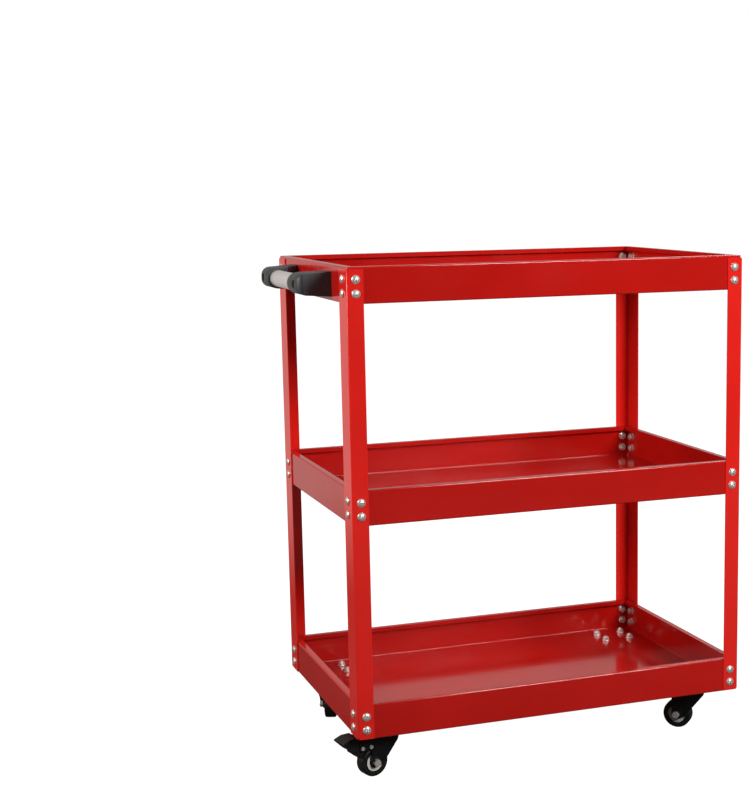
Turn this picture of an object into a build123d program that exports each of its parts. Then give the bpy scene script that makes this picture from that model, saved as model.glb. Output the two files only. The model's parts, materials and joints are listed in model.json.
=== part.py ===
from build123d import *
import os
from math import acos, asin, atan2, cos, degrees, hypot, radians, sin

# Three-tier tool cart: folded sheet-steel trays bolted to four angle posts, a push handle at the
# left end and four swivel casters. Millimetres, +Z up, +X along the trays, away from the handle.
# The origin is on the floor, under the middle of the cart's overall length and width.

os.makedirs("parts", exist_ok=True)

# ---------------------------------------------------------------- driving dimensions
# trays
tray_length = 617.0
tray_width = 397.0
tray_depth = 52.0
tray_gap = 263.0            # clear height between one tray's rim and the next tray's underside
tray_sheet = 1.2
rim_width = 10.0            # rim folded inwards round the top
rim_lip = 6.0               # the rim's inner edge, folded down
fold_radius = 2.0           # outside radius of the folds
mitre_gap = 0.6             # slit where two rims meet at a corner

# posts
post_sheet = 1.5
post_side_leg = 24.5        # leg on the long side of the cart
post_end_leg = 40.0         # leg on the short end
post_top_drop = 3.5         # rim top to post top
post_foot_rise = 1.0        # tray underside to post foot
post_corner_radius = 5.0    # rounding of the fold's ends

# fasteners
bolt_radius = 2.95
bolt_hole_radius = 3.2
bolt_head_radius = 6.2
bolt_head_height = 3.6
bolt_head_rim = 0.9
recess_length = 6.4
recess_width = 1.2
recess_depth = 1.6
nut_flats = 10.0
nut_height = 4.4
nut_flange_radius = 6.4
nut_flange_height = 1.0
nut_clearance = 0.05
thread_end = 2.0            # thread left showing beyond a nut
bolt_drop_upper = 17.5      # rim top to upper bolt
bolt_drop_lower = 37.5      # rim top to lower bolt
side_bolt_inset = 13.5      # post fold to the bolts on the long side
end_bolt_inset = 22.0       # post fold to the bolts on the short end

# handle
hand_gap = 20.5             # tray wall to the handle's blocks
handle_drop = 28.0          # rim top to the handle's centre line
bracket_inset = 84.0        # side of the cart to the bracket's outer side
bracket_length = 56.0       # the bracket's block, along the tube
bracket_arm = 34.0          # the arm at the tray wall
bracket_wall_height = 36.0
bracket_nose_run = 11.0     # rounded outer corner, towards the tray
bracket_nose_width = 12.0   # the same corner, along the tube
bracket_nose_bulge = 3.6    # that corner's rise above its chord
bracket_fillet = 16.0       # hollow corner between arm and block
bracket_fillet_share = 0.9  # most of either side that this corner takes
tube_radius = 12.5
tube_wall = 1.5
tube_cover = 3.0            # plastic between the tube and the bracket's outer face
tube_socket = 22.0
tube_clearance = 0.05
tube_end_gap = 1.0
handle_bolt_inset = 20.0    # bracket's outer side to its bolt
handle_recess_radius = 6.3
handle_recess_depth = 14.0
handle_head_radius = 5.0
handle_head_height = 6.0
hex_key_flats = 5.0
hex_key_depth = 3.0

# casters
wheel_crown_gap = 18.0      # top of the wheel to the fork's crown
caster_end_inset = 54.0     # end of the cart to the swivel axis
caster_side_inset = 52.0    # side of the cart to the swivel axis
plate_length = 62.0
plate_width = 54.0
plate_sheet = 2.5
plate_corner = 6.0
plate_bolt_x = 45.0
plate_bolt_y = 37.0
plate_head_height = 2.8
race_radius = 14.5
race_outer = 19.0
race_inner = 9.5
race_height = 2.6
ball_radius = 2.0
ball_count = 14
ball_seat = 0.05            # ball to the fork's groove
ball_play = 0.35            # ball to the plate's groove
race_split = 1.2            # plate race to fork crown
kingpin_radius = 4.0
kingpin_clearance = 0.06
kingpin_head_radius = 7.0
kingpin_head_height = 2.4
kingpin_head_gap = 0.3
fork_sheet = 2.2
fork_leg_radius = 7.5
fork_toe_reach = 9.0        # axle to the toe's centre, towards the swivel axis
fork_toe_rise = 1.5
fork_toe_radius = 5.5
fork_brow_x = 11.5          # swivel axis to the brow's centre
fork_brow_drop = 17.5
fork_brow_radius = 6.0
fork_shoulder = 4.4
wheel_trail = 21.5
wheel_radius = 22.5
wheel_width = 18.0
tyre_shoulder = 3.0
rim_radius = 14.2
rim_face_drop = 1.6         # grey ring below the tyre's side face
hub_radius = 8.8
hub_gap = 0.3               # hub end to fork leg
wheel_side_gap = 1.3        # tyre to fork leg
axle_radius = 3.0
axle_clearance = 0.06
axle_head_height = 4.0
axle_nut_height = 5.0

# foot brake on the two casters under the handle
pedal_pin_x = -45.0
pedal_pin_drop = 22.4
stay_pin_x = -30.2
stay_pin_drop = 22.9
ear_radius = 5.2
pedal_pin_radius = 2.0
stay_pin_radius = 1.7
pin_head_radius = 3.0
pin_head_height = 1.1
pin_clearance = 0.06
pedal_top_drop = 10.2       # inside the fork
pad_top_drop = 3.6          # the pad, outside the fork
pad_start_x = -52.0
pad_brow_x = -66.0
pad_tip_x = -79.5
pad_tip_drop = 8.5
pad_under_x = -63.0
pad_under_drop = 24.0
pedal_heel_x = -56.0
pedal_heel_drop = 31.0
pedal_shoe_x = -48.0
pedal_shoe_drop = 38.0
pad_tip_radius = 1.5
pedal_pad_width = 28.0
pedal_side_gap = 1.5
brake_gap = 2.6             # brake shoe to tyre with the brake off
leaf_sheet = 0.6
leaf_width = 9.0
leaf_end_x = -51.0
leaf_start_x = -8.5

# ---------------------------------------------------------------- worked-out places
frame_length = tray_length + 2 * post_sheet
frame_width = tray_width + 2 * post_sheet
end_x = frame_length / 2
side_y = frame_width / 2
wall_stack = post_sheet + tray_sheet
caster_stack = plate_sheet + race_height + race_split + fork_sheet
caster_height = caster_stack + wheel_crown_gap + 2 * wheel_radius
block_depth = 2 * (tube_radius + tube_cover)
handle_reach = hand_gap + block_depth - post_sheet
# the cart's overall length runs from the handle to the bolt heads at the other end
centre_shift = (handle_reach - bolt_head_height) / 2
tray_floors = [caster_height + level * (tray_depth + tray_gap) for level in range(3)]
tray_tops = [floor + tray_depth for floor in tray_floors]
frame_top = tray_tops[-1]
handle_z = frame_top - handle_drop
tube_x = -(end_x + handle_reach - tube_cover - tube_radius)
bracket_outer_y = side_y - bracket_inset
bracket_inner_y = bracket_outer_y - bracket_length
handle_bolt_y = bracket_outer_y - handle_bolt_inset
leg_inner_y = wheel_width / 2 + wheel_side_gap
leg_outer_y = leg_inner_y + fork_sheet
axle_z = wheel_radius
race_bottom_z = caster_height - plate_sheet - race_height
crown_top_z = race_bottom_z - race_split
crown_bottom_z = crown_top_z - fork_sheet
ball_z = (race_bottom_z + crown_top_z) / 2

LOW = (Align.CENTER, Align.CENTER, Align.MIN)
HIGH = (Align.CENTER, Align.CENTER, Align.MAX)


# ---------------------------------------------------------------- helpers
def save(name, shapes):
    """Write one sub-part, given as one solid or as a list of separate solids."""
    solids = shapes if isinstance(shapes, list) else [shapes]
    placed = [Pos(centre_shift, 0, 0) * solid for group in solids for solid in group.solids()]
    part = placed[0] if len(placed) == 1 else Compound(children=placed)
    part.label = name
    export_step(part, f"parts/{name}.step")


def facing(point, direction):
    """A location at point whose +Z looks along direction."""
    return Plane(origin=point, z_dir=direction).location


def spun(points_and_arcs):
    """A body of revolution about Z from the edges of its half section in X and Z."""
    return revolve(Plane.XZ * make_face(points_and_arcs), Axis.Z)


def side_profile(outline, half_width):
    """A flat outline in X and Z, extruded by half_width to both sides of Y = 0."""
    return extrude(Plane.XZ * outline, half_width, both=True)


def rounded_box(length, width, height, radius):
    """A plate with rounded upright corners, standing on Z = 0."""
    return extrude(RectangleRounded(length, width, radius), height)


# ---------------------------------------------------------------- fasteners
def domed_head(radius, height, rim):
    """A low domed head with a cross recess, standing on Z = 0."""
    rise = height - rim
    sphere = (radius ** 2 + rise ** 2) / (2 * rise)
    half_turn = asin(radius / sphere) / 2
    crest = (sphere * sin(half_turn), height - sphere * (1 - cos(half_turn)))
    dome = ThreePointArc((radius, rim), crest, (0, height))
    edges = [Line((0, 0), (radius, 0)), Line((radius, 0), (radius, rim)), dome, Line((0, height), (0, 0))]
    head = spun(edges)
    for length, width in ((recess_length, recess_width), (recess_width, recess_length)):
        head -= Pos(0, 0, height - recess_depth) * Box(length, width, 2 * recess_depth, align=LOW)
    return head


def domed_bolt(grip, head_height=bolt_head_height):
    """A domed bolt: its head stands on Z = 0 and its shank passes down through grip and a nut."""
    reach = grip + nut_flange_height + nut_height + thread_end
    return domed_head(bolt_head_radius, head_height, bolt_head_rim) + Cylinder(bolt_radius, reach, align=HIGH)


def flange_nut():
    """A hexagon nut with a round flange, standing on Z = 0."""
    flange = Cylinder(nut_flange_radius, nut_flange_height, align=LOW)
    flats = extrude(RegularPolygon(nut_flats / 2, 6, major_radius=False), nut_height)
    body = flange + Pos(0, 0, nut_flange_height) * flats
    return body - Cylinder(bolt_radius + nut_clearance, 4 * nut_height)


def post_bolt_places(top):
    """Place and outward direction of each bolt that holds one tray to the posts."""
    places = []
    for sx in (-1, 1):
        for sy in (-1, 1):
            for drop in (bolt_drop_upper, bolt_drop_lower):
                z = top - drop
                places.append(((sx * (end_x - side_bolt_inset), sy * side_y, z), (0, sy, 0)))
                places.append(((sx * end_x, sy * (side_y - end_bolt_inset), z), (sx, 0, 0)))
    return places


def caster_axes():
    """Swivel axes of the casters as name, x, y and resting yaw in degrees."""
    x = end_x - caster_end_inset
    y = side_y - caster_side_inset
    return [
        ("front_left", -x, -y, 16.0),
        ("front_right", x, -y, -43.0),
        ("rear_left", -x, y, 69.0),
        ("rear_right", x, y, 18.0),
    ]


def plate_bolt_places():
    """Places of the caster bolts in plan."""
    half_x = plate_bolt_x / 2
    half_y = plate_bolt_y / 2
    return [(x + sx * half_x, y + sy * half_y)
            for _, x, y, _ in caster_axes() for sx in (-1, 1) for sy in (-1, 1)]


def handle_bolt_places():
    return [-handle_bolt_y, handle_bolt_y]


# ---------------------------------------------------------------- trays and posts
def make_tray(floor):
    """One folded pan with an inward rim and a lip folded down."""
    pan = Box(tray_length, tray_width, tray_depth, align=LOW)
    pan = fillet(pan.edges(), fold_radius)
    inner_radius = fold_radius - tray_sheet
    hollow = Box(tray_length - 2 * tray_sheet, tray_width - 2 * tray_sheet, tray_depth - 2 * tray_sheet, align=LOW)
    hollow = Pos(0, 0, tray_sheet) * fillet(hollow.edges(), inner_radius)
    mouth_length = tray_length - 2 * rim_width
    mouth_width = tray_width - 2 * rim_width
    lip_top = tray_depth - fold_radius / 2
    lip = Box(mouth_length + 2 * tray_sheet, mouth_width + 2 * tray_sheet, rim_lip, align=HIGH)
    mouth = Box(mouth_length, mouth_width, 4 * rim_lip)
    pan = pan - hollow + Pos(0, 0, lip_top) * lip - Pos(0, 0, tray_depth) * mouth
    # mitre slits run from inside the mouth's corners to the walls
    run = rim_width - fold_radius
    overrun = 2.0
    for sx in (-1, 1):
        for sy in (-1, 1):
            slit = Pos(-sx * overrun, 0, 0) * Box(2 ** 0.5 * run + 2 * overrun, mitre_gap, 4 * rim_lip)
            place = Pos(sx * (mouth_length + run) / 2, sy * (mouth_width + run) / 2, tray_depth)
            pan -= place * Rot(0, 0, 45 * sx * sy) * slit
    return Pos(0, 0, floor) * pan


def drill(body, places, radius, depth):
    """Round holes of the given depth along each (point, direction)."""
    for point, direction in places:
        body -= facing(point, direction) * Cylinder(radius, 2 * depth)
    return body


def make_post():
    """The rear right angle post, before its holes."""
    height = frame_top - post_top_drop - tray_floors[0] - post_foot_rise
    foot = tray_floors[0] + post_foot_rise
    block = Pos(end_x, side_y, foot) * Box(
        post_side_leg, post_end_leg, height, align=(Align.MAX, Align.MAX, Align.MIN))
    fold = block.edges().filter_by(Axis.Z).sort_by(Axis.X)[-2:].sort_by(Axis.Y)[-1]
    block = fillet(fold, fold_radius)
    inside = Pos(end_x - post_sheet, side_y - post_sheet, foot) * Box(
        post_side_leg, post_end_leg, height, align=(Align.MAX, Align.MAX, Align.MIN))
    post = block - inside
    # the fold's ends are cut back in an arc on each leg
    r = post_corner_radius
    for z, up in ((foot, 1), (foot + height, -1)):
        centre = z + up * r
        square = Pos(end_x, side_y, z + up * r / 2)
        side_cut = square * Box(r, 2 * fold_radius, r, align=(Align.MAX, Align.CENTER, Align.CENTER))
        side_cut -= Pos(end_x - r, side_y, centre) * Rot(90, 0, 0) * Cylinder(r, 4 * fold_radius)
        end_cut = square * Box(2 * fold_radius, r, r, align=(Align.CENTER, Align.MAX, Align.CENTER))
        end_cut -= Pos(end_x, side_y - r, centre) * Rot(0, 90, 0) * Cylinder(r, 4 * fold_radius)
        post = post - side_cut - end_cut
    return post


def build_frame():
    levels = ("bottom", "middle", "top")
    post = make_post()
    all_places = []
    for level, floor, top in zip(levels, tray_floors, tray_tops):
        places = post_bolt_places(top)
        all_places += places
        tray = drill(make_tray(floor), places, bolt_hole_radius, 2 * wall_stack)
        if level == "bottom":
            holes = [((x, y, floor), (0, 0, 1)) for x, y in plate_bolt_places()]
            tray = drill(tray, holes, bolt_hole_radius, 2 * wall_stack)
        if level == "top":
            holes = [((-end_x, y, handle_z), (-1, 0, 0)) for y in handle_bolt_places()]
            tray = drill(tray, holes, bolt_hole_radius, 2 * wall_stack)
        save(f"{level}_tray", tray)
        bolt = domed_bolt(wall_stack)
        nut = Pos(0, 0, -wall_stack) * Rot(180, 0, 0) * flange_nut()
        save(f"{level}_tray_bolts", [facing(point, way) * bolt for point, way in places])
        save(f"{level}_tray_nuts", [facing(point, way) * nut for point, way in places])
    left = mirror(post, about=Plane.YZ)
    posts = {
        "post_rear_right": post,
        "post_front_right": mirror(post, about=Plane.XZ),
        "post_rear_left": left,
        "post_front_left": mirror(left, about=Plane.XZ),
    }
    for name, blank in posts.items():
        side = 1 if "right" in name else -1
        depth = 1 if "rear" in name else -1
        own = [place for place in all_places if place[0][0] * side > 0 and place[0][1] * depth > 0]
        save(name, drill(blank, own, bolt_hole_radius, 2 * wall_stack))


# ---------------------------------------------------------------- handle
def make_bracket():
    """The rear handle bracket: an arm on the tray wall and a block that holds the tube."""
    wall_x = -(end_x - post_sheet)
    face_x = -(end_x + handle_reach)
    block_x = face_x + block_depth
    outer = bracket_outer_y
    inner = bracket_inner_y
    arm_y = outer - bracket_arm
    nose_x = face_x + bracket_nose_run
    nose_y = outer - bracket_nose_width
    chord = hypot(bracket_nose_run, bracket_nose_width)
    bulge_x = (face_x + nose_x) / 2 - bracket_nose_bulge * bracket_nose_width / chord
    bulge_y = (outer + nose_y) / 2 + bracket_nose_bulge * bracket_nose_run / chord
    r = min(bracket_fillet, bracket_fillet_share * (arm_y - inner), bracket_fillet_share * hand_gap)
    corner = CenterArc((block_x + r, inner), r, 90, 90)
    hollow_end = (block_x + r, inner + r)
    plan = [
        Line((wall_x, outer), (nose_x, outer)),
        ThreePointArc((nose_x, outer), (bulge_x, bulge_y), (face_x, nose_y)),
        Line((face_x, nose_y), (face_x, inner)),
        Line((face_x, inner), (block_x, inner)),
        corner,
        Line(hollow_end, (block_x + r, arm_y)),
        Line((block_x + r, arm_y), (wall_x, arm_y)),
        Line((wall_x, arm_y), (wall_x, outer)),
    ]
    body = extrude(make_face(plan), bracket_wall_height / 2, both=True)
    # from the side it is round about the tube and widens to its height at the wall
    side = tangent_hull([(tube_x, 0, block_depth / 2), (wall_x, 0, bracket_wall_height / 2)])
    middle = (outer + inner) / 2
    body &= Pos(0, middle, 0) * side_profile(side, bracket_length)
    socket = Pos(tube_x, inner, 0) * Rot(90, 0, 0) * Cylinder(tube_radius + tube_clearance, 2 * tube_socket)
    body -= socket
    shank = Pos(wall_x, handle_bolt_y, 0) * Rot(0, 90, 0) * Cylinder(bolt_hole_radius, 4 * handle_reach)
    recess = Pos(face_x, handle_bolt_y, 0) * Rot(0, 90, 0) * Cylinder(handle_recess_radius, 2 * handle_recess_depth)
    return Pos(0, 0, handle_z) * (body - shank - recess)


def build_handle():
    bracket = make_bracket()
    save("handle_bracket_rear", bracket)
    save("handle_bracket_front", mirror(bracket, about=Plane.XZ))
    length = 2 * (bracket_inner_y + tube_socket - tube_end_gap)
    tube = Cylinder(tube_radius, length) - Cylinder(tube_radius - tube_wall, 2 * length)
    save("handle_tube", Pos(tube_x, 0, handle_z) * Rot(90, 0, 0) * tube)
    # cap screws sunk in the brackets, with nuts inside the tray
    head_x = -(end_x + handle_reach - handle_recess_depth)
    inside_x = -(end_x - wall_stack)
    reach = inside_x - head_x + nut_flange_height + nut_height + thread_end
    screw = Cylinder(handle_head_radius, handle_head_height, align=LOW) + Cylinder(bolt_radius, reach, align=HIGH)
    key = extrude(RegularPolygon(hex_key_flats / 2, 6, major_radius=False), hex_key_depth)
    screw -= Pos(0, 0, handle_head_height - hex_key_depth) * key
    ends = handle_bolt_places()
    save("handle_bolts", [facing((head_x, y, handle_z), (-1, 0, 0)) * screw for y in ends])
    save("handle_nuts", [facing((inside_x, y, handle_z), (1, 0, 0)) * flange_nut() for y in ends])


# ---------------------------------------------------------------- casters
# Each caster is drawn about its swivel axis at X = Y = 0, with the wheel trailing along -X.
def make_plate():
    """The fixed top plate with its half of the ball race."""
    plate = Pos(0, 0, caster_height - plate_sheet) * rounded_box(plate_length, plate_width, plate_sheet, plate_corner)
    plate += Pos(0, 0, race_bottom_z) * Cylinder(race_outer, race_height, align=LOW)
    plate -= Pos(0, 0, race_bottom_z) * Cylinder(race_inner, race_height, align=LOW)
    plate -= Pos(0, 0, ball_z) * Torus(race_radius, ball_radius + ball_play)
    plate -= Cylinder(kingpin_radius, 4 * caster_height)
    for sx in (-1, 1):
        for sy in (-1, 1):
            place = Pos(sx * plate_bolt_x / 2, sy * plate_bolt_y / 2, 0)
            plate -= place * Cylinder(bolt_hole_radius, 4 * caster_height)
    return plate


def make_kingpin():
    """The rivet that holds the fork to the plate."""
    head_top = crown_bottom_z - kingpin_head_gap
    pin = Pos(0, 0, head_top) * Cylinder(kingpin_radius, caster_height - head_top, align=LOW)
    return pin + Pos(0, 0, head_top) * Cylinder(kingpin_head_radius, kingpin_head_height, align=HIGH)


def make_balls():
    ball = Sphere(ball_radius)
    ring = [Rot(0, 0, 360 * i / ball_count) * Pos(race_radius, 0, ball_z) for i in range(ball_count)]
    return [place * ball for place in ring]


def tangent_hull(circles):
    """The outline round circles given anticlockwise as (x, y, radius), joined by tangent lines."""
    count = len(circles)
    touches = []
    for i in range(count):
        x0, y0, r0 = circles[i]
        x1, y1, r1 = circles[(i + 1) % count]
        away = atan2(y1 - y0, x1 - x0)
        lean = acos((r0 - r1) / hypot(x1 - x0, y1 - y0))
        angle = away - lean
        start = (x0 + r0 * cos(angle), y0 + r0 * sin(angle))
        end = (x1 + r1 * cos(angle), y1 + r1 * sin(angle))
        touches.append((angle, start, end))
    edges = []
    for i in range(count):
        angle, start, end = touches[i]
        next_angle = touches[(i + 1) % count][0]
        edges.append(Line(start, end))
        x, y, r = circles[(i + 1) % count]
        sweep = (degrees(next_angle - angle) + 360) % 360
        edges.append(CenterArc((x, y), r, degrees(angle), sweep))
    return make_face(edges)


def make_fork(braked):
    """The swivelling fork: a round crown and two legs, with ears for the brake where there is one."""
    crown = Pos(0, 0, crown_bottom_z) * Cylinder(race_outer, fork_sheet, align=LOW)
    back = wheel_trail + fork_leg_radius / 2
    web = Box(back, 2 * leg_outer_y, fork_sheet, align=(Align.MAX, Align.CENTER, Align.MIN))
    crown += Pos(0, 0, crown_bottom_z) * web
    top = crown_top_z - fork_shoulder
    axle = (-wheel_trail, axle_z, fork_leg_radius)
    toe = (-wheel_trail + fork_toe_reach, axle_z + fork_toe_rise, fork_toe_radius)
    brow = (fork_brow_x, caster_height - fork_brow_drop, fork_brow_radius)
    nose = (race_outer - fork_shoulder, top, fork_shoulder)
    heel = (-wheel_trail - fork_leg_radius + fork_shoulder, top, fork_shoulder)
    outlines = [tangent_hull([axle, toe, brow, nose, heel])]
    if braked:
        pivot = (pedal_pin_x, caster_height - pedal_pin_drop, ear_radius)
        stay = (stay_pin_x, caster_height - stay_pin_drop, ear_radius)
        corner = (pedal_pin_x, crown_top_z - ear_radius, ear_radius)
        outlines.append(tangent_hull([pivot, stay, nose, corner]))
    middle_y = (leg_inner_y + leg_outer_y) / 2
    fork = crown
    for sy in (-1, 1):
        for outline in outlines:
            fork += Pos(0, sy * middle_y, 0) * side_profile(outline, fork_sheet / 2)
    fork -= Pos(0, 0, ball_z) * Torus(race_radius, ball_radius + ball_seat)
    fork -= Cylinder(kingpin_radius + kingpin_clearance, 4 * caster_height)
    fork -= Pos(-wheel_trail, 0, axle_z) * Rot(90, 0, 0) * Cylinder(axle_radius, 4 * leg_outer_y)
    if braked:
        for x, drop, radius in brake_pins():
            fork -= Pos(x, 0, caster_height - drop) * Rot(90, 0, 0) * Cylinder(radius, 4 * leg_outer_y)
    return fork


def make_tyre():
    half = wheel_width / 2
    s = tyre_shoulder
    d = s * (1 - cos(radians(45)))
    edges = [
        Line((rim_radius, -half), (wheel_radius - s, -half)),
        ThreePointArc((wheel_radius - s, -half), (wheel_radius - d, -half + d), (wheel_radius, -half + s)),
        Line((wheel_radius, -half + s), (wheel_radius, half - s)),
        ThreePointArc((wheel_radius, half - s), (wheel_radius - d, half - d), (wheel_radius - s, half)),
        Line((wheel_radius - s, half), (rim_radius, half)),
        Line((rim_radius, half), (rim_radius, -half)),
    ]
    return on_axle(spun(edges))


def make_wheel_rim():
    half = wheel_width / 2 - rim_face_drop
    ring = Cylinder(rim_radius, 2 * half) - Cylinder(hub_radius, 4 * half)
    return on_axle(ring)


def make_hub():
    half = leg_inner_y - hub_gap
    boss = 1.8 * axle_radius
    face = wheel_width / 2 - 2 * rim_face_drop
    hub = Cylinder(hub_radius, 2 * face) + Cylinder(boss, 2 * half)
    return on_axle(hub - Cylinder(axle_radius + axle_clearance, 4 * half))


def on_axle(body):
    """Turn a body of revolution about Z on to the axle."""
    return Pos(-wheel_trail, 0, axle_z) * Rot(90, 0, 0) * body


def make_axle():
    """The axle bolt through both legs, and its nut."""
    head = extrude(RegularPolygon(nut_flats / 2, 6, major_radius=False), axle_head_height)
    shank = Cylinder(axle_radius, 2 * leg_outer_y + axle_nut_height + thread_end / 2, align=HIGH)
    bolt = Pos(0, 0, leg_outer_y) * (head + shank)
    nut = extrude(RegularPolygon(nut_flats / 2, 6, major_radius=False), axle_nut_height)
    nut -= Cylinder(axle_radius + nut_clearance, 4 * axle_nut_height)
    return [on_axle(bolt), on_axle(Pos(0, 0, -leg_outer_y - axle_nut_height) * nut)]


def brake_pins():
    return [(pedal_pin_x, pedal_pin_drop, pedal_pin_radius), (stay_pin_x, stay_pin_drop, stay_pin_radius)]


def make_brake_pins():
    """The pedal's rivet and the rivet that stays the two legs."""
    pins = []
    for x, drop, radius in brake_pins():
        pin = Cylinder(radius, 2 * leg_outer_y)
        pin += Pos(0, 0, leg_outer_y) * Cylinder(pin_head_radius, pin_head_height, align=LOW)
        pin += Pos(0, 0, -leg_outer_y) * Cylinder(pin_head_radius, pin_head_height, align=HIGH)
        pins.append(Pos(x, 0, caster_height - drop) * Rot(90, 0, 0) * pin)
    return pins


def make_pedal():
    """The foot pedal: a pad outside the fork and a shoe inside it, hollowed to the tyre."""
    right = pedal_pin_x + ear_radius
    corners = [
        (right, pedal_top_drop),
        (pad_start_x, pedal_top_drop),
        (pad_start_x, pad_top_drop),
        (pad_brow_x, pad_top_drop),
        (pad_tip_x, pad_tip_drop),
        (pad_under_x, pad_under_drop),
        (pedal_heel_x, pad_under_drop),
        (pedal_heel_x, pedal_heel_drop),
        (pedal_shoe_x, pedal_shoe_drop),
        (right, pedal_shoe_drop),
    ]
    outline = Polygon(*[(x, caster_height - drop) for x, drop in corners], align=None)
    tip = outline.vertices().sort_by(Axis.X)[0]
    outline = fillet(tip, pad_tip_radius)
    core = side_profile(outline, leg_inner_y - pedal_side_gap)
    outside = Pos(pad_start_x, 0, 0) * Box(
        caster_height, pedal_pad_width, 2 * caster_height, align=(Align.MAX, Align.CENTER, Align.MIN))
    pedal = core + (side_profile(outline, pedal_pad_width / 2) & outside)
    pedal -= on_axle(Cylinder(wheel_radius + brake_gap, 2 * pedal_pad_width))
    bore = Cylinder(pedal_pin_radius + pin_clearance, 2 * pedal_pad_width)
    return pedal - Pos(pedal_pin_x, 0, caster_height - pedal_pin_drop) * Rot(90, 0, 0) * bore


def make_leaf():
    """The leaf spring under the crown that keeps the pedal up or down."""
    length = leaf_start_x - leaf_end_x
    leaf = Box(length, leaf_width, leaf_sheet, align=(Align.MAX, Align.CENTER, Align.MAX))
    return Pos(leaf_start_x, 0, crown_bottom_z) * leaf


def build_casters():
    for name, x, y, yaw in caster_axes():
        braked = name.endswith("left")
        fixed = Pos(x, y, 0)
        turned = fixed * Rot(0, 0, yaw)
        save(f"caster_{name}_plate", fixed * make_plate())
        save(f"caster_{name}_kingpin", fixed * make_kingpin())
        save(f"caster_{name}_balls", [turned * ball for ball in make_balls()])
        save(f"caster_{name}_fork", turned * make_fork(braked))
        save(f"caster_{name}_tyre", turned * make_tyre())
        save(f"caster_{name}_wheel_rim", turned * make_wheel_rim())
        save(f"caster_{name}_hub", turned * make_hub())
        save(f"caster_{name}_axle", [turned * solid for solid in make_axle()])
        if braked:
            save(f"caster_{name}_brake_pedal", turned * make_pedal())
            save(f"caster_{name}_brake_pins", [turned * pin for pin in make_brake_pins()])
            save(f"caster_{name}_brake_spring", turned * make_leaf())
    # bolts pushed up through the plates, with nuts on the bottom tray's floor
    grip = plate_sheet + tray_sheet
    bolt = domed_bolt(grip, plate_head_height)
    under = caster_height - plate_sheet
    floor = caster_height + tray_sheet
    places = plate_bolt_places()
    save("caster_plate_bolts", [facing((x, y, under), (0, 0, -1)) * bolt for x, y in places])
    save("caster_plate_nuts", [Pos(x, y, floor) * flange_nut() for x, y in places])


build_frame()
build_handle()
build_casters()
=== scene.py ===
"""Red three-tier tool cart on a pale floor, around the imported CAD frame."""

import json
import math

import bpy
from mathutils import Euler, Matrix, Vector

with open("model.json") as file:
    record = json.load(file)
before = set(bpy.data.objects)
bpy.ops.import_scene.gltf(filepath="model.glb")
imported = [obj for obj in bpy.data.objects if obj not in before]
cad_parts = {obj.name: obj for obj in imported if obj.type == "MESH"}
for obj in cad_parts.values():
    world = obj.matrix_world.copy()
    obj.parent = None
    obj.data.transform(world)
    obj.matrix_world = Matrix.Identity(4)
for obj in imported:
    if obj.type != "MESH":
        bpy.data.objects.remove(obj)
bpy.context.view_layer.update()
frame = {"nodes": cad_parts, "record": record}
NODES = frame["nodes"]
SLOTS = {s["node"]: s["material_slot"] for s in frame["record"]["subparts"]}
MM = 0.001
WHITE = (1.0, 1.0, 1.0)

# ---------------------------------------------------------------- camera
CAMERA_PLACE = (-0.8899, -2.3735, 0.8710)
CAMERA_TURN = 20.839                # degrees from +Y towards +X
CAMERA_DIP = 9.135                  # degrees below the horizon
CAMERA_ROLL = -0.649
LENS_MM = 73.98
SENSOR_MM = 36.0
FRAMING_SHIFT = (-0.1582, 0.0570)
CLIP_NEAR = 0.05
CLIP_FAR = 60.0

# ---------------------------------------------------------------- light
LIGHTS = (
    # name, place, aimed at, size, watts, tint
    ("key", (0.9, -2.1, 1.5), (0.0, 0.0, 0.45), (0.9, 0.7), 54.0, WHITE),
    ("back", (1.9, 2.0, 1.7), (0.0, 0.0, 0.4), (0.9, 0.9), 26.0, WHITE),
    ("left", (-2.2, -0.3, 1.3), (0.0, 0.0, 0.45), (0.8, 1.0), 40.0, (1.0, 0.95, 0.9)),
)
ROOM_TINT = (1.0, 0.94, 0.90)
ROOM_FRONT = 0.10                   # brightness in front of the object
ROOM_BACK = 0.42                    # and behind it
ROOM_TURN = (-0.25, 0.45)           # the sky's Y over which one becomes the other

# ---------------------------------------------------------------- floor
FLOOR_SIZE = 40.0
FLOOR_NEAR_GREY = (0.10, 0.08, 0.075)
FLOOR_FAR_TINT = (1.0, 0.93, 0.88)
FLOOR_FAR_GLOW = 0.45
FLOOR_TURN = (0.9, 2.0)             # metres back from the middle: dark, then pale
FLOOR_PALE = (0.9, 0.9, 0.9)
FLOOR_GLOW = 1.26                   # what the camera sees of the floor glows
FLOOR_SHADE = 0.2                   # apart from this share, which takes the shadows


def opaque(colour):
    return (*colour, 1.0)


def make_camera():
    data = bpy.data.cameras.new("camera")
    data.lens = LENS_MM
    data.sensor_width = SENSOR_MM
    data.shift_x, data.shift_y = FRAMING_SHIFT
    data.clip_start = CLIP_NEAR
    data.clip_end = CLIP_FAR
    camera = bpy.data.objects.new("camera", data)
    bpy.context.scene.collection.objects.link(camera)
    angles = (math.radians(90 - CAMERA_DIP), 0, math.radians(-CAMERA_TURN))
    tilt = Euler(angles, "XYZ").to_matrix()
    roll = Matrix.Rotation(math.radians(CAMERA_ROLL), 3, "Z")
    camera.matrix_world = Matrix.Translation(CAMERA_PLACE) @ (tilt @ roll).to_4x4()
    bpy.context.scene.camera = camera


def area_light(name, place, aim, size, power, tint):
    data = bpy.data.lights.new(name, "AREA")
    data.shape = "RECTANGLE"
    data.size, data.size_y = size
    data.energy = power
    data.color = tint
    lamp = bpy.data.objects.new(name, data)
    bpy.context.scene.collection.objects.link(lamp)
    lamp.location = place
    way = Vector(aim) - Vector(place)
    lamp.rotation_euler = way.to_track_quat("-Z", "Y").to_euler()


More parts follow.
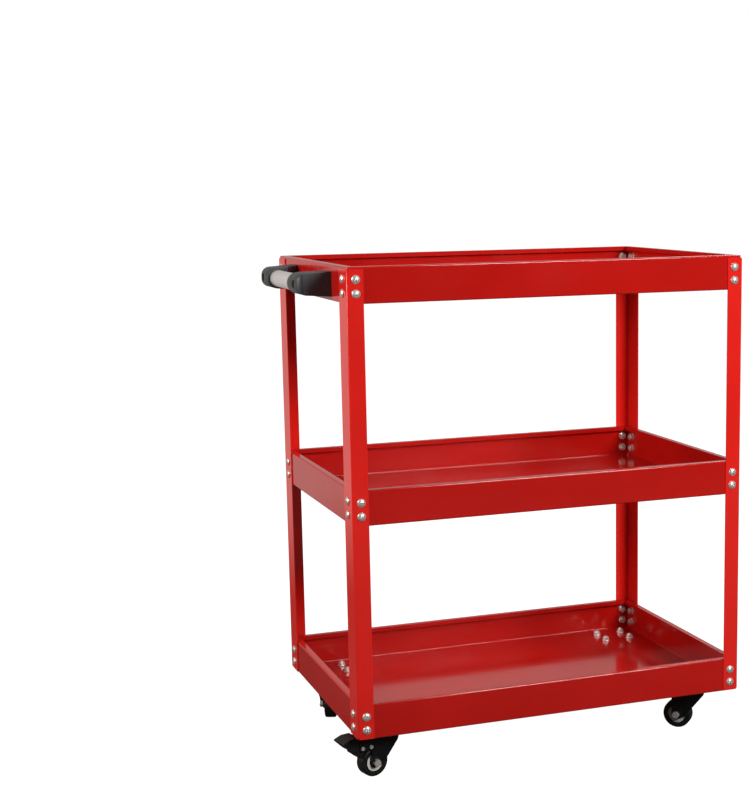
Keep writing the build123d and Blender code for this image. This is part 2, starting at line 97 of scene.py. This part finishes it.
def make_lights():
    bpy.context.scene.view_settings.view_transform = "Standard"
    bpy.context.scene.view_settings.look = "None"
    for light in LIGHTS:
        area_light(*light)


class Nodes:
    """A node tree with short ways to add and join its nodes."""

    def __init__(self, tree):
        self.tree = tree

    def new(self, kind, **values):
        node = self.tree.nodes.new("ShaderNode" + kind)
        for key, value in values.items():
            node.inputs[key.replace("_", " ")].default_value = value
        return node

    def link(self, source, target):
        self.tree.links.new(source, target)

    def mixed(self, factor, first, second):
        node = self.new("MixShader")
        self.link(factor, node.inputs["Fac"])
        self.link(first, node.inputs[1])
        self.link(second, node.inputs[2])
        return node.outputs["Shader"]

    def along_y(self, space, span, low, high):
        """Low to high over a span of Y in the given texture space."""
        way = self.new("SeparateXYZ")
        self.link(self.new("TexCoord").outputs[space], way.inputs["Vector"])
        depth = self.new("MapRange", From_Min=span[0], From_Max=span[1], To_Min=low, To_Max=high)
        self.link(way.outputs["Y"], depth.inputs["Value"])
        return depth.outputs["Result"]


def make_world():
    """A white backdrop for the camera, and a room that is dim in front of the object."""
    world = bpy.data.worlds.new("studio")
    world.use_nodes = True
    nodes = Nodes(world.node_tree)
    room = world.node_tree.nodes["Background"]
    room.inputs["Color"].default_value = opaque(ROOM_TINT)
    strength = nodes.along_y("Generated", ROOM_TURN, ROOM_FRONT, ROOM_BACK)
    nodes.link(strength, room.inputs["Strength"])
    white = nodes.new("Background", Color=opaque(WHITE), Strength=1.0)
    seen = nodes.new("LightPath").outputs["Is Camera Ray"]
    shown = nodes.mixed(seen, room.outputs["Background"], white.outputs["Background"])
    nodes.link(shown, world.node_tree.nodes["World Output"].inputs["Surface"])
    bpy.context.scene.world = world


def make_floor():
    """A pale floor for the camera; the object reflects it dark near by, pale further back."""
    bpy.ops.mesh.primitive_plane_add(size=FLOOR_SIZE, location=(0, 0, 0))
    floor = bpy.context.active_object
    floor.name = "floor"
    paint = bpy.data.materials.new("floor_paint")
    paint.use_nodes = True
    nodes = Nodes(paint.node_tree)
    near = nodes.new("BsdfDiffuse", Color=opaque(FLOOR_NEAR_GREY))
    far = nodes.new("Emission", Color=opaque(FLOOR_FAR_TINT), Strength=FLOOR_FAR_GLOW)
    distance = nodes.along_y("Object", FLOOR_TURN, 0.0, 1.0)
    reflected = nodes.mixed(distance, near.outputs["BSDF"], far.outputs["Emission"])
    pale = nodes.new("BsdfDiffuse", Color=opaque(FLOOR_PALE))
    glow = nodes.new("Emission", Color=opaque(WHITE), Strength=FLOOR_GLOW)
    ground = nodes.new("MixShader", Fac=FLOOR_SHADE)
    nodes.link(glow.outputs["Emission"], ground.inputs[1])
    nodes.link(pale.outputs["BSDF"], ground.inputs[2])
    seen = nodes.new("LightPath").outputs["Is Camera Ray"]
    shown = nodes.mixed(seen, reflected, ground.outputs["Shader"])
    nodes.link(shown, paint.node_tree.nodes["Material Output"].inputs["Surface"])
    floor.data.materials.append(paint)


# ---------------------------------------------------------------- materials
NOISE_BAND = (0.3, 0.7)             # the part of the noise that is spread over the full range
SPECKLE_LIFT = 0.01                 # keeps the light patches of a near-black from vanishing
SPECKLE_DETAIL = 3.0
GLOSS_DETAIL = 4.0
BUMP_DETAIL = 2.0


class Paint:
    """A Principled material with its colour and bump built from object-space noise."""

    def __init__(self, name, colour, roughness, metallic=0.0):
        self.material = bpy.data.materials.new(name)
        self.material.use_nodes = True
        self.tree = self.material.node_tree
        self.shader = self.tree.nodes["Principled BSDF"]
        self.colour = colour
        self.set(Base_Color=opaque(colour), Roughness=roughness, Metallic=metallic)
        self.place = self.tree.nodes.new("ShaderNodeTexCoord").outputs["Object"]

    def set(self, **values):
        for key, value in values.items():
            self.shader.inputs[key.replace("_", " ")].default_value = value
        return self

    def link(self, source, target):
        self.tree.links.new(source, target)

    def stretched(self, scale):
        mapping = self.tree.nodes.new("ShaderNodeMapping")
        mapping.inputs["Scale"].default_value = scale
        self.link(self.place, mapping.inputs["Vector"])
        return mapping.outputs["Vector"]

    def noise(self, scale, detail, stretch):
        node = self.tree.nodes.new("ShaderNodeTexNoise")
        node.inputs["Scale"].default_value = scale
        node.inputs["Detail"].default_value = detail
        place = self.stretched(stretch) if stretch else self.place
        self.link(place, node.inputs["Vector"])
        return node.outputs["Fac"]

    def mapped(self, source, low, high):
        node = self.tree.nodes.new("ShaderNodeMapRange")
        node.inputs["From Min"].default_value = NOISE_BAND[0]
        node.inputs["From Max"].default_value = NOISE_BAND[1]
        node.inputs["To Min"].default_value = low
        node.inputs["To Max"].default_value = high
        self.link(source, node.inputs["Value"])
        return node.outputs["Result"]

    def speckle(self, scale, strength, stretch=None):
        """Lighter and darker patches in the colour."""
        factor = self.mapped(self.noise(scale, SPECKLE_DETAIL, stretch), 0.0, 1.0)
        mix = self.tree.nodes.new("ShaderNodeMix")
        mix.data_type = "RGBA"
        lift = SPECKLE_LIFT * strength
        dark = [c * (1 - strength) for c in self.colour]
        light = [min(1.0, c * (1 + strength) + lift) for c in self.colour]
        mix.inputs["A"].default_value = opaque(dark)
        mix.inputs["B"].default_value = opaque(light)
        self.link(factor, mix.inputs["Factor"])
        self.link(mix.outputs["Result"], self.shader.inputs["Base Color"])
        return self

    def uneven_gloss(self, scale, low, high, stretch=None):
        """Roughness that varies from low to high."""
        gloss = self.mapped(self.noise(scale, GLOSS_DETAIL, stretch), low, high)
        self.link(gloss, self.shader.inputs["Roughness"])
        return self

    def bumps(self, scale, height, stretch=None, coat=False):
        """Relief of the given height in metres."""
        node = self.tree.nodes.new("ShaderNodeBump")
        node.inputs["Strength"].default_value = 1.0
        node.inputs["Distance"].default_value = height
        self.link(self.noise(scale, BUMP_DETAIL, stretch), node.inputs["Height"])
        self.link(node.outputs["Normal"], self.shader.inputs["Normal"])
        if coat:
            self.link(node.outputs["Normal"], self.shader.inputs["Coat Normal"])
        return self


LIT_POST_RED = "post_red_painted_light"               # painted light: a copy of the trays' red made brighter than the trays' for the posts, standing in for the light and reflection the posts catch
RED_PAINTS = {
    "red_paint": (0.49, 0.0070, 0.0045),
    LIT_POST_RED: (0.76, 0.0160, 0.0110),
}


def make_materials():
    found = {}
    for slot, colour in RED_PAINTS.items():
        red = Paint(slot, colour, 0.14)
        red.set(Specular_IOR_Level=0.5, Coat_Weight=0.2, Coat_Roughness=0.04, IOR=1.5)
        red.speckle(9.0, 0.05).uneven_gloss(14.0, 0.10, 0.17).bumps(420.0, 0.00002, coat=True)
        found[slot] = red
    zinc = Paint("bright_zinc", (0.78, 0.76, 0.73), 0.3, metallic=0.7)
    zinc.speckle(900.0, 0.12).uneven_gloss(700.0, 0.2, 0.42).bumps(1800.0, 0.00002)
    found["zinc"] = zinc
    tube = Paint("satin_aluminium", (0.86, 0.84, 0.82), 0.44, metallic=0.7)
    tube.speckle(240.0, 0.03, stretch=(1, 0.05, 1))
    tube.uneven_gloss(500.0, 0.28, 0.42, stretch=(1, 0.04, 1))
    tube.bumps(2600.0, 0.00001, stretch=(1, 0.03, 1))
    found["satin_aluminium"] = tube
    plastic = Paint("grained_plastic", (0.028, 0.032, 0.036), 0.5)
    plastic.speckle(500.0, 0.25).uneven_gloss(60.0, 0.38, 0.52).bumps(2200.0, 0.00005)
    found["bracket_plastic"] = plastic
    oxide = Paint("black_oxide", (0.02, 0.02, 0.022), 0.35, metallic=0.7)
    oxide.speckle(900.0, 0.3).bumps(1800.0, 0.00002)
    found["black_screws"] = oxide
    black = Paint("caster_coating", (0.004, 0.004, 0.0045), 0.24).set(Specular_IOR_Level=0.3)
    black.speckle(300.0, 0.3).uneven_gloss(120.0, 0.22, 0.4).bumps(900.0, 0.00005)
    found["caster_black"] = black
    pedal = Paint("pedal_nylon", (0.005, 0.005, 0.0055), 0.34).set(Specular_IOR_Level=0.3)
    pedal.speckle(400.0, 0.25).uneven_gloss(150.0, 0.35, 0.5).bumps(1500.0, 0.00006)
    found["pedal_black"] = pedal
    tyre = Paint("tyre_rubber", (0.006, 0.006, 0.006), 0.36).set(Specular_IOR_Level=0.35)
    tyre.speckle(250.0, 0.4).uneven_gloss(200.0, 0.3, 0.5).bumps(1300.0, 0.00006)
    found["tyre_rubber"] = tyre
    grey = Paint("wheel_plastic", (0.66, 0.64, 0.61), 0.35)
    grey.speckle(300.0, 0.06).uneven_gloss(200.0, 0.3, 0.42).bumps(1400.0, 0.00003)
    found["wheel_grey"] = grey
    hub = Paint("hub_plastic", (0.014, 0.014, 0.015), 0.4)
    hub.speckle(300.0, 0.25).bumps(1400.0, 0.00004)
    found["hub_plastic"] = hub
    steel = Paint("bare_steel", (0.74, 0.73, 0.72), 0.28, metallic=0.7)
    steel.speckle(800.0, 0.1).uneven_gloss(700.0, 0.22, 0.4).bumps(1600.0, 0.00002)
    found["bare_steel"] = steel
    return {slot: paint.material for slot, paint in found.items()}


# ---------------------------------------------------------------- the CAD nodes' finish
BEVEL_MM = {
    "red_paint": 0.25,
    "zinc": 0.25,
    "black_screws": 0.25,
    "caster_black": 0.35,
    "pedal_black": 0.8,
    "bracket_plastic": 0.8,
    "wheel_grey": 0.4,
    "hub_plastic": 0.4,
    "bare_steel": 0.2,
}
BEVEL_SEGMENTS = 2
BEVEL_FROM_ANGLE = 35               # degrees; shallower edges stay as they are
WELD_MM = 0.01


def soften(obj, width):
    """Join the faces' shared edges and round them a little."""
    weld = obj.modifiers.new("weld", "WELD")
    weld.merge_threshold = WELD_MM * MM
    bevel = obj.modifiers.new("bevel", "BEVEL")
    bevel.width = width
    bevel.segments = BEVEL_SEGMENTS
    bevel.limit_method = "ANGLE"
    bevel.angle_limit = math.radians(BEVEL_FROM_ANGLE)
    bevel.harden_normals = True


def dress_nodes(materials):
    for name, obj in NODES.items():
        slot = SLOTS[name]
        # the posts take the brighter copy of the red: painted light on the same paint as the
        # trays
        paint = LIT_POST_RED if name.startswith("post_") else slot
        obj.data.materials.clear()
        obj.data.materials.append(materials[paint])
        if slot in BEVEL_MM:
            soften(obj, BEVEL_MM[slot] * MM)


# ---------------------------------------------------------------- build
def main():
    make_camera()
    make_world()
    make_lights()
    materials = make_materials()
    make_floor()
    dress_nodes(materials)


main()
